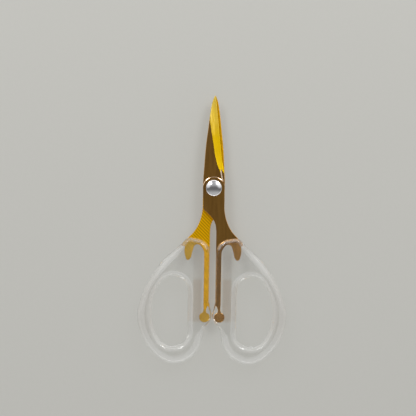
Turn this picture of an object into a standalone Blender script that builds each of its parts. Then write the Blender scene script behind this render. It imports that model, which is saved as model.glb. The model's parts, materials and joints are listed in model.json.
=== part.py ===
"""Thread snips: two gold-coated steel blades on one rivet, each in a clear moulded handle.

The snips lie flat and closed. +Y runs to the tips, +Z is up, and the origin is the middle of the
underside of the whole. The two halves are alike: each piece of the front half is described once,
about the pivot and from the plane between the blades, and the rear half is the same piece turned
half a turn about the long axis.
"""

import math

import bmesh
import bpy
from mathutils import Vector

MM = 0.001

# Driving dimensions
OVERALL_LENGTH = 127.0 * MM
TIP_REACH = 43.66 * MM
BLADE_THICKNESS = 1.4 * MM
BLADE_GAP = 0.3 * MM
HANDLE_THICKNESS = 7.2 * MM
HANDLE_EDGE_RADIUS = 2.3 * MM
CLEARANCE = 0.3 * MM

# Pivot
SHANK_RADIUS = 1.7 * MM
HEAD_RADIUS = 3.72 * MM
HEAD_HEIGHT = 1.45 * MM
HEAD_RIM = 0.25 * MM
CAP_RADIUS = 3.3 * MM
CAP_HEIGHT = 1.1 * MM
CAP_BORE_DEPTH = 0.6 * MM
TURNED_STEPS = 32

# Ground facet on the outer face, along the cutting edge
EDGE_THICKNESS = 0.3 * MM
FACET_WIDTH = 3.5 * MM
GRINDING_RADIUS = 71.0 * MM
FACET_FULL_FROM = 18.6 * MM
EDGE_HEEL = (4.17, 3.46)
EDGE_TIP = (0.28, 43.66)

# Bulb that anchors the end of the tang in the plastic
BULB_CENTRE = (3.5, -61.1)
BULB_RADIUS = 2.46
NECK_HALF_ANGLE = 20.0

# Distances from the centre line, in millimetres
STEM_INNER = 1.47
STEM_OUTER = 4.07
INNER_FACE = 1.42
NOSE_FACE = 0.15
OPENING_INNER = 11.5

# Lower end of the tang's straight stem, in millimetres about the pivot
STEM_END = -54.5

PIVOT = Vector((0.0, OVERALL_LENGTH / 2 - TIP_REACH, HANDLE_THICKNESS / 2))
BLADE_BOTTOM = BLADE_GAP / 2
BLADE_TOP = BLADE_BOTTOM + BLADE_THICKNESS

SMOOTH = "AUTO"
CORNER = "VECTOR"


def bulb_outline(extra=0.0, count=9):
    """The bulb from the neck's outer side round to its inner side, clockwise, in millimetres."""
    radius = BULB_RADIUS + extra
    first = 90.0 - NECK_HALF_ANGLE
    last = -270.0 + NECK_HALF_ANGLE
    turns = [math.radians(first + (last - first) * i / (count - 1)) for i in range(count)]
    x, y = BULB_CENTRE
    return [(x + radius * math.cos(a), y + radius * math.sin(a), SMOOTH) for a in turns]


def blade_outline():
    """Blade and tang in millimetres about the pivot: down the edge side, back up the spine."""
    cutting_edge = [
        (*EDGE_TIP, CORNER), (1.94, 28.2, SMOOTH), (3.69, 13.7, SMOOTH), (*EDGE_HEEL, CORNER),
    ]
    shoulder = [
        (5.02, 3.4, CORNER), (5.15, -5.0, SMOOTH), (5.35, -11.4, SMOOTH), (6.87, -16.9, SMOOTH),
        (9.09, -20.8, SMOOTH), (12.45, -24.7, SMOOTH),
    ]
    barb = [
        (13.1, -26.6, SMOOTH), (13.1, -32.2, SMOOTH), (11.84, -34.2, SMOOTH),
        (10.4, -33.0, SMOOTH), (9.8, -30.6, SMOOTH), (7.6, -26.75, SMOOTH),
        (4.6, -29.2, SMOOTH),
    ]
    stem = [(STEM_OUTER, -32.5, CORNER), (STEM_OUTER, STEM_END, CORNER)]
    stem_return = [(STEM_INNER, STEM_END, CORNER), (STEM_INNER, -20.5, CORNER)]
    crotch = [(0.9, -16.9, SMOOTH), (-0.43, -14.5, SMOOTH), (-4.85, -10.2, CORNER)]
    spine = [
        (-5.1, 1.5, SMOOTH), (-4.5, 10.8, SMOOTH), (-4.02, 19.7, SMOOTH), (-2.98, 28.2, SMOOTH),
        (-2.2, 36.2, SMOOTH), (-1.61, 40.8, SMOOTH), (-0.66, 43.1, CORNER),
    ]
    return cutting_edge + shoulder + barb + stem + bulb_outline() + stem_return + crotch + spine


def pocket_outline():
    """The tang's pocket: the tang grown by the clearance, open at the top and on the inner face."""
    gap = CLEARANCE / MM
    open_side = STEM_INNER - 1.5
    barb = [
        (12.7 + gap, -20.0, CORNER), (13.1 + gap, -26.6, SMOOTH), (13.1 + gap, -32.3, SMOOTH),
        (11.84, -34.2 - gap, SMOOTH), (10.4 - gap, -33.0, SMOOTH), (9.8 - gap, -30.8, SMOOTH),
        (7.6, -26.75 - gap, SMOOTH), (4.6 + gap, -29.4, SMOOTH),
    ]
    stem = [(STEM_OUTER + gap, -32.5, CORNER), (STEM_OUTER + gap, STEM_END, CORNER)]
    mouth = [
        (STEM_INNER - gap, STEM_END, CORNER), (open_side, STEM_END, CORNER),
        (open_side, -20.0, CORNER),
    ]
    return barb + stem + bulb_outline(gap) + mouth


def handle_outline():
    """Outside of the handle, from the collar's inner corner clockwise to the stop nose."""
    collar = [
        (INNER_FACE, -31.5, CORNER), (2.2, -27.6, SMOOTH), (4.4, -25.2, SMOOTH), (8.0, -24.0, SMOOTH),
        (11.8, -23.8, SMOOTH),
    ]
    bow = [
        (14.9, -26.6, SMOOTH), (23.9, -35.2, SMOOTH), (29.8, -43.9, SMOOTH), (34.2, -54.0, SMOOTH),
        (35.2, -60.5, SMOOTH), (33.6, -69.0, SMOOTH), (28.5, -77.5, SMOOTH), (22.7, -82.0, SMOOTH),
        (17.5, -83.34, SMOOTH), (10.6, -81.1, SMOOTH), (6.3, -76.6, SMOOTH), (4.4, -71.0, SMOOTH),
    ]
    stop_nose = [
        (3.5, -66.6, SMOOTH), (1.5, -63.7, SMOOTH), (NOSE_FACE, -60.8, SMOOTH),
        (0.8, -57.0, SMOOTH), (INNER_FACE, -53.5, CORNER),
    ]
    return collar + bow + stop_nose


def finger_opening():
    """The D-shaped opening, straight on the side of the centre line."""
    bow = [
        (12.6, -44.9, SMOOTH), (17.4, -42.0, SMOOTH), (22.4, -43.2, SMOOTH), (25.8, -47.3, SMOOTH),
        (28.2, -54.2, SMOOTH), (28.4, -61.0, SMOOTH), (25.8, -69.8, SMOOTH),
        (22.3, -74.0, SMOOTH), (18.2, -75.05, SMOOTH), (13.4, -73.2, SMOOTH),
    ]
    straight = [(OPENING_INNER, y, SMOOTH) for y in (-69.5, -64.0, -54.0, -49.5)]
    return bow + straight


def closed_spline(curve, outline):
    """Add one closed Bezier spline through an outline given in millimetres."""
    spline = curve.splines.new("BEZIER")
    spline.bezier_points.add(len(outline) - 1)
    spline.use_cyclic_u = True
    for point, (x, y, kind) in zip(spline.bezier_points, outline):
        point.co = (x * MM, y * MM, 0.0)
        point.handle_left_type = kind
        point.handle_right_type = kind


def plate(name, outlines, bottom, top, edge_radius=0.0, steps=6, edge_steps=2):
    """Solid plate between two heights, with rounded edges if a radius is given."""
    curve = bpy.data.curves.new(name, "CURVE")
    curve.dimensions = "2D"
    curve.fill_mode = "BOTH"
    curve.resolution_u = steps
    curve.render_resolution_u = 0
    curve.extrude = (top - bottom) / 2 - edge_radius
    curve.bevel_depth = edge_radius
    curve.bevel_resolution = edge_steps
    curve.offset = -edge_radius
    for outline in outlines:
        closed_spline(curve, outline)
    flat = bpy.data.objects.new(name, curve)
    bpy.context.scene.collection.objects.link(flat)
    flat.location.z = (top + bottom) / 2
    bpy.context.view_layer.update()
    evaluated = flat.evaluated_get(bpy.context.evaluated_depsgraph_get())
    mesh = bpy.data.meshes.new_from_object(evaluated)
    mesh.transform(flat.matrix_world)
    bpy.data.objects.remove(flat)
    weld(mesh)
    return bpy.data.objects.new(name, mesh)


def weld(mesh):
    """Join the caps of a mesh made from a curve to its sides."""
    shape = bmesh.new()
    shape.from_mesh(mesh)
    bmesh.ops.remove_doubles(shape, verts=shape.verts, dist=0.002 * MM)
    bmesh.ops.recalc_face_normals(shape, faces=shape.faces)
    shape.to_mesh(mesh)
    shape.free()


def turned(name, profile):
    """Solid turned about Z from a profile of (radius, height), run down its outer side."""
    mesh = bpy.data.meshes.new(name)
    edges = [(i, i + 1) for i in range(len(profile) - 1)]
    mesh.from_pydata([(radius, 0.0, height) for radius, height in profile], edges, [])
    piece = bpy.data.objects.new(name, mesh)
    screw = piece.modifiers.new("turn", "SCREW")
    screw.steps = TURNED_STEPS
    screw.render_steps = TURNED_STEPS
    screw.use_merge_vertices = True
    screw.merge_threshold = 0.00001
    return piece


def dome(radius, height, count=6):
    """Profile of a spherical dome from its crown to its rim, as (radius, height above the rim)."""
    ball = (radius ** 2 + height ** 2) / (2 * height)
    widest = math.asin(radius / ball)
    turns = [widest * i / count for i in range(count + 1)]
    return [(ball * math.sin(a), ball * math.cos(a) - ball + height) for a in turns]


def material(name, colour, metallic, roughness, alpha=1.0):
    """Principled material in a plain colour."""
    finish = bpy.data.materials.new(name)
    finish.use_nodes = True
    shader = finish.node_tree.nodes["Principled BSDF"]
    shader.inputs["Base Color"].default_value = (*colour, 1.0)
    shader.inputs["Metallic"].default_value = metallic
    shader.inputs["Roughness"].default_value = roughness
    shader.inputs["Alpha"].default_value = alpha
    return finish


def cutter(piece, collection):
    """Put a cutting solid in the cutters' collection, out of sight."""
    piece.hide_render = True
    piece.display_type = "WIRE"
    collection.objects.link(piece)
    return piece


def cut(piece, tool, label):
    """Take a cutter's solid out of a piece, with the exact solver."""
    boolean = piece.modifiers.new(label, "BOOLEAN")
    boolean.operation = "DIFFERENCE"
    boolean.solver = "EXACT"
    boolean.object = tool


def applied_mesh(piece):
    """The piece's mesh with its modifiers applied."""
    bpy.context.view_layer.update()
    evaluated = piece.evaluated_get(bpy.context.evaluated_depsgraph_get())
    return bpy.data.meshes.new_from_object(evaluated)


def grinding_cutter(collection):
    """What the grinding wheel takes off the outer face.

    Across the blade it is a plane that meets the outer face FACET_WIDTH from the cutting edge.
    Along the blade it runs level from FACET_FULL_FROM to the tip, and below that it lifts out of
    the steel on the wheel's own radius.
    """
    depth = BLADE_THICKNESS - EDGE_THICKNESS
    tilt = math.atan2(depth, FACET_WIDTH)
    heel = Vector(EDGE_HEEL) * MM
    tip = Vector(EDGE_TIP) * MM
    lean = math.atan2(heel.x - tip.x, tip.y - heel.y)
    run_out = 16.0 * MM
    past_tip = TIP_REACH + 4.0 * MM
    height = 6.0 * MM
    count = 8
    offsets = [run_out * (1 - i / count) for i in range(count + 1)]
    wheel = [(FACET_FULL_FROM - d, GRINDING_RADIUS - math.sqrt(GRINDING_RADIUS ** 2 - d ** 2))
             for d in offsets]
    section = wheel + [(past_tip, 0.0), (past_tip, height), (wheel[0][0], height)]
    outline = [(y / MM, z / MM, CORNER) for y, z in section]
    wedge = plate("grinding_cutter", [outline], -8.0 * MM, 3.0 * MM, steps=1)
    wedge.rotation_euler = (math.pi / 2, 0.0, math.pi / 2)
    wedge.data.transform(wedge.rotation_euler.to_matrix().to_4x4())
    wedge.rotation_euler = (0.0, tilt, lean)
    edge_x = heel.x + heel.y * math.tan(lean)
    wedge.location = (edge_x, 0.0, BLADE_BOTTOM + EDGE_THICKNESS)
    return cutter(wedge, collection)


def blade_mesh(cutters):
    """One blade with its tang, pivot hole and ground facet."""
    blade = plate("blade", [blade_outline()], BLADE_BOTTOM, BLADE_TOP)
    hole = turned("pivot_hole_cutter", [
        (0.0, 3 * BLADE_TOP), (SHANK_RADIUS + CLEARANCE, 3 * BLADE_TOP),
        (SHANK_RADIUS + CLEARANCE, -BLADE_TOP), (0.0, -BLADE_TOP),
    ])
    cutters.objects.link(blade)
    cut(blade, cutter(hole, cutters), "pivot_hole")
    cut(blade, grinding_cutter(cutters), "facet")
    mesh = applied_mesh(blade)
    bpy.data.objects.remove(blade)
    return mesh


def handle_mesh(cutters):
    """One handle: rounded ring and web with its stop nose, and the pocket that the tang fills."""
    half = HANDLE_THICKNESS / 2
    handle = plate("handle", [handle_outline(), finger_opening()], -half, half,
                   edge_radius=HANDLE_EDGE_RADIUS)
    cutters.objects.link(handle)
    pocket = plate("tang_pocket_cutter", [pocket_outline()], BLADE_BOTTOM - CLEARANCE,
                   BLADE_TOP + CLEARANCE)
    cut(handle, cutter(pocket, cutters), "pocket")
    mesh = applied_mesh(handle)
    bpy.data.objects.remove(handle)
    return mesh


def rivet():
    """Domed head over the front blade, with the shank through both blades into the cap."""
    seat = BLADE_TOP + CLEARANCE
    shank_end = -BLADE_TOP - CLEARANCE - CAP_BORE_DEPTH + CLEARANCE / 2
    profile = [(r, seat + HEAD_RIM + z) for r, z in dome(HEAD_RADIUS, HEAD_HEIGHT - HEAD_RIM)]
    profile += [(HEAD_RADIUS, seat), (SHANK_RADIUS, seat), (SHANK_RADIUS, shank_end)]
    profile += [(0.0, shank_end)]
    return turned("pivot_rivet", profile)


def rivet_cap():
    """Low domed cap under the rear blade, closed outside and bored for the rivet's shank."""
    seat = -BLADE_TOP - CLEARANCE
    bore = SHANK_RADIUS + CLEARANCE / 2
    profile = [(0.0, seat - CAP_BORE_DEPTH), (bore, seat - CAP_BORE_DEPTH), (bore, seat)]
    outside = [(r, seat - HEAD_RIM - z) for r, z in dome(CAP_RADIUS, CAP_HEIGHT - HEAD_RIM)]
    profile += [(CAP_RADIUS, seat)] + outside[::-1]
    return turned("rivet_cap", profile)


def pivot_empty(name, collection):
    """Empty on the pivot's axis that a half of the snips hangs from."""
    empty = bpy.data.objects.new(name, None)
    empty.location = PIVOT
    collection.objects.link(empty)
    return empty


def place(piece, parent, finish, collection, turned_over=False):
    """Hang a piece from its half's empty, turned half a turn about Y for the rear half."""
    collection.objects.link(piece)
    piece.parent = parent
    if turned_over:
        piece.rotation_euler = (0.0, math.pi, 0.0)
    piece.data.materials.clear()
    piece.data.materials.append(finish)
    piece.data.shade_smooth()
    piece.data.set_sharp_from_angle(angle=math.radians(35.0))


def main():
    """Build the snips."""
    for old in list(bpy.data.objects):
        bpy.data.objects.remove(old)
    snips = bpy.data.collections.new("thread_snips")
    cutters = bpy.data.collections.new("cutters")
    bpy.context.scene.collection.children.link(snips)
    bpy.context.scene.collection.children.link(cutters)

    bronze = material("front_blade_gold", (0.30, 0.17, 0.04), 1.0, 0.25)
    gold = material("rear_blade_gold", (0.55, 0.33, 0.03), 1.0, 0.35)
    polished = material("polished_steel", (0.72, 0.72, 0.73), 1.0, 0.12)
    bright = material("cap_steel", (0.66, 0.66, 0.67), 1.0, 0.2)
    clear_right = material("right_clear_plastic", (0.86, 0.86, 0.84), 0.0, 0.08, alpha=0.35)
    clear_left = material("left_clear_plastic", (0.86, 0.86, 0.84), 0.0, 0.08, alpha=0.35)

    front = pivot_empty("front_half", snips)
    rear = pivot_empty("rear_half", snips)
    blade = blade_mesh(cutters)
    handle = handle_mesh(cutters)
    place(bpy.data.objects.new("front_blade", blade), front, bronze, snips)
    place(bpy.data.objects.new("right_handle", handle), front, clear_right, snips)
    place(bpy.data.objects.new("rear_blade", blade.copy()), rear, gold, snips, turned_over=True)
    place(bpy.data.objects.new("left_handle", handle.copy()), rear, clear_left, snips,
          turned_over=True)
    place(rivet(), rear, polished, snips)
    place(rivet_cap(), rear, bright, snips)


main()
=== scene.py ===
"""Finished look of a pair of thread snips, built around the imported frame.

Two gold-coated steel blades cross on one domed rivet, and each tang is moulded into a clear
handle. The snips lie flat and closed, +Y towards the tips and +Z up. Every shape is described once
for the front half, in millimetres about the pivot and from the plane between the blades; the rear
half is the same shape turned half a turn about the long axis.
"""

import json
import logging
import math
from dataclasses import dataclass, field
from enum import Enum, IntEnum

import bpy
import numpy as np
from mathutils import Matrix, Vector
from mathutils.geometry import delaunay_2d_cdt, tessellate_polygon


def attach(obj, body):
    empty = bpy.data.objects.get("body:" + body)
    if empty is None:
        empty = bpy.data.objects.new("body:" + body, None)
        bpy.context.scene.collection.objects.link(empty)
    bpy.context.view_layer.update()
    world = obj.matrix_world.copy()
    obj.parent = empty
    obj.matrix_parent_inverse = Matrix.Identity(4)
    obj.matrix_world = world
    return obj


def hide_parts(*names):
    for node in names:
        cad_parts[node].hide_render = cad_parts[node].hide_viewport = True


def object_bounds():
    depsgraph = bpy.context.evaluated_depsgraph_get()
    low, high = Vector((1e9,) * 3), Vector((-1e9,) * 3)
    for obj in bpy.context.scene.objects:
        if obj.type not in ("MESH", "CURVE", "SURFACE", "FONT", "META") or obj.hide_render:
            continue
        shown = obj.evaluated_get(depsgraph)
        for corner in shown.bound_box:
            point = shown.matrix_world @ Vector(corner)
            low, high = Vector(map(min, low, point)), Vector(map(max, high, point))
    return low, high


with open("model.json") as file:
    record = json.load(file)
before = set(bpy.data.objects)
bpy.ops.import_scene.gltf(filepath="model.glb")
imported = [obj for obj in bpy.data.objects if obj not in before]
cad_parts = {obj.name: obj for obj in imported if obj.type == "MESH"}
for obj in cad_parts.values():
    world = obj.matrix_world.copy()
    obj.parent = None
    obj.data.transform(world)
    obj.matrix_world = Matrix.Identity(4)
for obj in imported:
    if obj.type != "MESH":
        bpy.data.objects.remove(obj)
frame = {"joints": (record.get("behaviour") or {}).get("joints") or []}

CAD_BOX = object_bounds()
MM = 0.001
LOG = logging.getLogger("thread_snips")

Array = np.ndarray
Point = tuple[float, float]
Colour = tuple[float, float, float, float]
Socket = bpy.types.NodeSocket
Value = float | Colour | Socket

# The pivot in the row frame, in metres: the frame has one joint
PIVOT = np.array(frame["joints"][0]["pos_m"], float)

# A side is about this many handles long where four smooth points make a circle
AUTO_HANDLE = 2.5614

# UV map and point attributes that materials read
FLAT_MAP = "flat_map"
EDGE_MASK = "edge_mask"
BARE_MASK = "bare_mask"
MOULDED_MASK = "moulded_mask"


class Bend(Enum):
    """How an outline passes through one of its points."""

    SMOOTH = "smooth"
    CORNER = "corner"


class Half(Enum):
    """The two halves of the snips, by the CAD body that each rides on."""

    FRONT = "front_half"
    REAR = "rear_half"


class Slot(Enum):
    """The record's material slots."""

    GOLD = "gold_steel"
    PLASTIC = "clear_plastic"
    STEEL = "polished_steel"


class BladeFinish(IntEnum):
    """Material numbers of a blade."""

    POLISHED = 0
    FACET = 1
    INNER = 2


class HandleFinish(IntEnum):
    """Material numbers of a handle."""

    SLOT_RIM = 0
    FLAT = 1
    BOW_RIM = 2
    COLLAR_RIM = 3


SMOOTH = Bend.SMOOTH
CORNER = Bend.CORNER

OutlinePoint = tuple[float, float, Bend]


# ---------------------------------------------------------------------------------------------
# Outlines and meshes
# ---------------------------------------------------------------------------------------------


def traced(points: list[OutlinePoint], steps: int) -> Array:
    """Sample a closed outline as a chain of cubic Bezier arcs.

    At a smooth point both handles lie along the sum of the unit directions in and out, each as long
    as its own side divided by AUTO_HANDLE. At a corner each handle is a third of the way to the
    neighbour. Each arc is then
    (1-t)^3 a + 3 (1-t)^2 t b + 3 (1-t) t^2 c + t^3 d.

    Args:
        points: The outline's points in millimetres, each with its bend.
        steps: Samples on each arc.

    Returns:
        The samples, one row each, in the outline's own order.
    """
    place = np.array([(x, y) for x, y, _ in points], float)
    corner = np.array([bend is CORNER for *_, bend in points])[:, None]
    before = place - np.roll(place, 1, axis=0)
    after = np.roll(place, -1, axis=0) - place
    length_before = np.linalg.norm(before, axis=1, keepdims=True)
    length_after = np.linalg.norm(after, axis=1, keepdims=True)
    lean = before / length_before + after / length_after
    reach = np.linalg.norm(lean, axis=1, keepdims=True) * AUTO_HANDLE
    handle_in = place - np.where(corner, before / 3, lean * length_before / reach)
    handle_out = place + np.where(corner, after / 3, lean * length_after / reach)
    t = (np.arange(steps) / steps)[None, :, None]
    start, end = place[:, None], np.roll(place, -1, axis=0)[:, None]
    first, second = handle_out[:, None], np.roll(handle_in, -1, axis=0)[:, None]
    arcs = ((1 - t) ** 3 * start + 3 * (1 - t) ** 2 * t * first
            + 3 * (1 - t) * t ** 2 * second + t ** 3 * end)
    return arcs.reshape(-1, 2)


def side_normals(path: Array) -> Array:
    """Unit normals to the right of a closed path, from the chord between each point's neighbours.

    Args:
        path: Points of a closed path, one row each.

    Returns:
        One unit normal for each point.
    """
    along = np.roll(path, -1, axis=0) - np.roll(path, 1, axis=0)
    normal = np.stack([along[:, 1], -along[:, 0]], axis=1)
    return normal / np.linalg.norm(normal, axis=1, keepdims=True)


def distance_to(points: Array, path: Array) -> Array:
    """Shortest distance from each point to a closed path.

    Each point is dropped onto each straight piece of the path, held between the piece's ends.

    Args:
        points: Points, one row each.
        path: Points of the closed path, one row each.

    Returns:
        One distance for each point.
    """
    along = (np.roll(path, -1, axis=0) - path)[None]
    from_start = points[:, None] - path[None]
    share = np.clip((from_start * along).sum(2) / (along ** 2).sum(2), 0.0, 1.0)
    return np.linalg.norm(from_start - share[..., None] * along, axis=2).min(axis=1)


def is_inside(points: Array, path: Array) -> Array:
    """True for each point inside a closed path, by counting crossings of a ray along +X.

    Args:
        points: Points, one row each.
        path: Points of the closed path, one row each.

    Returns:
        One truth value for each point.
    """
    x, y = points[:, :1], points[:, 1:]
    ax, ay = path[:, 0], path[:, 1]
    bx, by = np.roll(ax, -1), np.roll(ay, -1)
    crosses = (ay > y) != (by > y)
    rise = np.where(by == ay, 1.0, by - ay)
    at = ax + (y - ay) * (bx - ax) / rise
    return (crosses & (at > x)).sum(axis=1) % 2 == 1


def smoothstep(value: Array) -> Array:
    """Ease from 0 to 1 as value goes from 0 to 1, level at both ends: t t (3 - 2 t)."""
    t = np.clip(value, 0.0, 1.0)
    return t * t * (3.0 - 2.0 * t)


def circle(count: int) -> Array:
    """Points of a unit circle, (cos a, sin a), counter-clockwise from +X."""
    turns = np.linspace(0.0, 2 * math.pi, count + 1)[:-1]
    return np.stack([np.cos(turns), np.sin(turns)], axis=1)


def ring_faces(rings: int, count: int) -> Array:
    """Quads between neighbouring closed rings of a grid, ring by ring.

    Args:
        rings: Number of rings.
        count: Points in each ring.

    Returns:
        Four point numbers for each quad.
    """
    ring, step = np.meshgrid(np.arange(rings - 1), np.arange(count), indexing="ij")
    after = (step + 1) % count
    here, there = ring * count, (ring + 1) * count
    quads = np.stack([there + step, there + after, here + after, here + step], axis=-1)
    return quads.reshape(-1, 4)


@dataclass
class MeshParts:
    """Points and faces of one piece, gathered from several surfaces.

    Attributes:
        points: Arrays of points in millimetres.
        faces: Face lists, counted from the first point of the whole piece.
        finishes: The material number of each face, for each face list.
        weld: Distance in millimetres within which points are joined.
    """

    points: list[Array] = field(default_factory=list)
    faces: list[Array] = field(default_factory=list)
    finishes: list[Array] = field(default_factory=list)
    weld: float = 1e-4

    def add(self, points: Array, faces: Array, finish: int | Array = 0) -> None:
        """Add one surface.

        Args:
            points: Its points, one row each.
            faces: Its faces, counted from its own first point.
            finish: The material number of its faces, one for all or one each.
        """
        first = sum(len(p) for p in self.points)
        self.points.append(points)
        self.faces.append(faces + first)
        self.finishes.append(np.broadcast_to(np.asarray(finish, np.int32), (len(faces),)))

    def to_mesh(self, name: str, sharp_from: float) -> bpy.types.Mesh:
        """Make the mesh, joined where its surfaces meet, smooth except across sharp edges.

        Args:
            name: The mesh's name.
            sharp_from: Angle in degrees from which an edge is sharp.

        Returns:
            The mesh, in metres.
        """
        points = np.concatenate(self.points)
        keys = np.round(points / self.weld).astype(np.int64)
        _, kept, number = np.unique(keys, axis=0, return_index=True, return_inverse=True)
        number = number.reshape(-1)
        faces = [row for block in self.faces for row in number[block].tolist()]
        mesh = bpy.data.meshes.new(name)
        mesh.from_pydata((points[kept] * MM).tolist(), [], faces)
        mesh.polygons.foreach_set("material_index", np.concatenate(self.finishes))
        mesh.shade_smooth()
        mesh.set_sharp_from_angle(angle=math.radians(sharp_from))
        mesh.validate()
        return mesh


def mesh_points(mesh: bpy.types.Mesh) -> Array:
    """Read the points of a mesh.

    Args:
        mesh: The mesh.

    Returns:
        Its points in metres, one row each.
    """
    place = np.empty(len(mesh.vertices) * 3, np.float32)
    mesh.vertices.foreach_get("co", place)
    return place.reshape(-1, 3)


def placed(mesh: bpy.types.Mesh, half: Half) -> bpy.types.Mesh:
    """Move a mesh from the pivot's own frame to its place in the row frame.

    The rear half is turned half a turn about the long axis: x and z change sign.

    Args:
        mesh: Mesh in metres about the pivot.
        half: The half that it belongs to.

    Returns:
        The same mesh.
    """
    place = mesh_points(mesh)
    if half is Half.REAR:
        place = place * np.array([-1.0, 1.0, -1.0])
    mesh.vertices.foreach_set("co", (place + PIVOT).astype(np.float32).ravel())
    mesh.update()
    return mesh


def add_flat_map(mesh: bpy.types.Mesh, unit: float = 100.0) -> None:
    """Give a mesh a UV map with U along X and V along Y.

    Args:
        mesh: Mesh in its place.
        unit: Millimetres to one unit of U or V.
    """
    corners = np.empty(len(mesh.loops), np.int32)
    mesh.loops.foreach_get("vertex_index", corners)
    flat = mesh_points(mesh)[corners, :2] / MM / unit
    layer = mesh.uv_layers.new(name=FLAT_MAP)
    layer.data.foreach_set("uv", flat.astype(np.float32).ravel())


def add_piece(name: str, mesh: bpy.types.Mesh, finishes: list[bpy.types.Material], half: Half,
              node: str) -> None:
    """Put a finished piece in the scene, on its body, in place of its CAD node.

    Args:
        name: The piece's name.
        mesh: Its mesh, already in place.
        finishes: Its materials, in the order of the mesh's material numbers.
        half: The half that it rides on.
        node: The CAD node that it stands for.
    """
    for finish in finishes:
        mesh.materials.append(finish)
    piece = bpy.data.objects.new(name, mesh)
    bpy.context.scene.collection.objects.link(piece)
    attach(piece, half.value)
    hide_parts(node)
    LOG.info("%s: %d faces on %s", name, len(mesh.polygons), half.value)


# ---------------------------------------------------------------------------------------------
# Shader building
# ---------------------------------------------------------------------------------------------


@dataclass
class Wiring:
    """A node tree with short ways to add nodes and to give them their inputs."""

    tree: bpy.types.NodeTree

    def feed(self, node: bpy.types.Node, inputs: dict[str | int, Value]) -> None:
        """Give a node its inputs.

        Args:
            node: The node.
            inputs: A plain value to set or a socket to join, for each input by name or number.
        """
        for key, value in inputs.items():
            if isinstance(value, Socket):
                self.tree.links.new(value, node.inputs[key])
            else:
                node.inputs[key].default_value = value

    def add(self, kind: str, inputs: dict[str | int, Value] | None = None,
            **settings: str) -> bpy.types.Node:
        """Add a node.

        Args:
            kind: The node's type, without its ShaderNode prefix.
            inputs: What feed takes.
            **settings: Properties of the node.

        Returns:
            The node.
        """
        node = self.tree.nodes.new("ShaderNode" + kind)
        for key, value in settings.items():
            setattr(node, key, value)
        self.feed(node, inputs or {})
        return node

    def place(self) -> Socket:
        """Object coordinates, which are the row frame's, in metres."""
        return self.add("TexCoord").outputs["Object"]

    def mask(self, name: str) -> Socket:
        """One of the mesh's own point attributes."""
        return self.add("Attribute", attribute_name=name).outputs["Fac"]

    def math(self, operation: str, *values: Value) -> Socket:
        """The result of a Math node, by Blender's name of the operation."""
        return self.add("Math", dict(enumerate(values)), operation=operation).outputs[0]

    def ramp(self, value: Socket, low: float, high: float, to_low: float = 0.0,
             to_high: float = 1.0, kind: str = "LINEAR") -> Socket:
        """Map a value from one range to another, held at the ends.

        Args:
            value: The value.
            low: Start of its own range.
            high: End of its own range.
            to_low: Result at the start.
            to_high: Result at the end.
            kind: Blender's name of the interpolation.

        Returns:
            The mapped value.
        """
        limits = {0: value, 1: low, 2: high, 3: to_low, 4: to_high}
        return self.add("MapRange", limits, interpolation_type=kind).outputs[0]

    def eased(self, value: Socket, low: float, high: float) -> Socket:
        """Ease from 0 at low to 1 at high."""
        return self.ramp(value, low, high, kind="SMOOTHSTEP")

    def window(self, value: Socket, limits: tuple[float, float, float, float]) -> Socket:
        """1 between the two inner limits, falling to 0 at the two outer ones.

        Args:
            value: The value.
            limits: The four limits, lowest first.

        Returns:
            The share.
        """
        first, second, third, fourth = limits
        return self.math("MULTIPLY", self.ramp(value, first, second),
                         self.ramp(value, third, fourth, 1.0, 0.0))

    def mixed(self, share: Value, first: Value, second: Value) -> Socket:
        """Mix two colours by a share."""
        return self.add("Mix", {0: share, 6: first, 7: second}, data_type="RGBA").outputs[2]

    def stretched(self, place: Socket, factors: tuple[float, float, float]) -> Socket:
        """A place times a factor on each axis."""
        return self.add("VectorMath", {0: place, 1: factors}, operation="MULTIPLY").outputs[0]

    def turned(self, place: Socket, angle: Value) -> Socket:
        """A place turned about Z."""
        return self.add("VectorRotate", {"Vector": place, "Angle": angle},
                        rotation_type="Z_AXIS").outputs[0]

    def noise(self, place: Socket, scale: Value, detail: float, roughness: float = 0.5) -> Socket:
        """Noise about one half."""
        return self.add("TexNoise", {"Vector": place, "Scale": scale, "Detail": detail,
                                     "Roughness": roughness}).outputs["Fac"]

    def bump(self, height: Socket, strength: float, distance: float) -> Socket:
        """A normal tilted by a height."""
        return self.add("Bump", {"Height": height, "Strength": strength,
                                 "Distance": distance}).outputs[0]

    def group(self, tree: bpy.types.NodeTree, inputs: dict[str, Value]) -> dict[str, Socket]:
        """Place a node group.

        Args:
            tree: The group.
            inputs: What feed takes.

        Returns:
            Its output sockets by name.
        """
        node = self.add("Group")
        node.node_tree = tree
        self.feed(node, inputs)
        return {socket.name: socket for socket in node.outputs}


def new_group(name: str, inputs: dict[str, float | None], outputs: list[str]
              ) -> tuple[Wiring, dict[str, Socket], bpy.types.Node]:
    """Start a shader node group with named sockets.

    Args:
        name: The group's name.
        inputs: Default of each input, or None for a vector.
        outputs: Names of its outputs, all plain numbers.

    Returns:
        The group's wiring, its input sockets by name and its output node.
    """
    tree = bpy.data.node_groups.new(name, "ShaderNodeTree")
    for label, default in inputs.items():
        kind = "NodeSocketVector" if default is None else "NodeSocketFloat"
        socket = tree.interface.new_socket(name=label, in_out="INPUT", socket_type=kind)
        if default is not None:
            socket.default_value = default
    for label in outputs:
        tree.interface.new_socket(name=label, in_out="OUTPUT", socket_type="NodeSocketFloat")
    source = tree.nodes.new("NodeGroupInput")
    target = tree.nodes.new("NodeGroupOutput")
    return Wiring(tree), {s.name: s for s in source.outputs}, target


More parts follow.
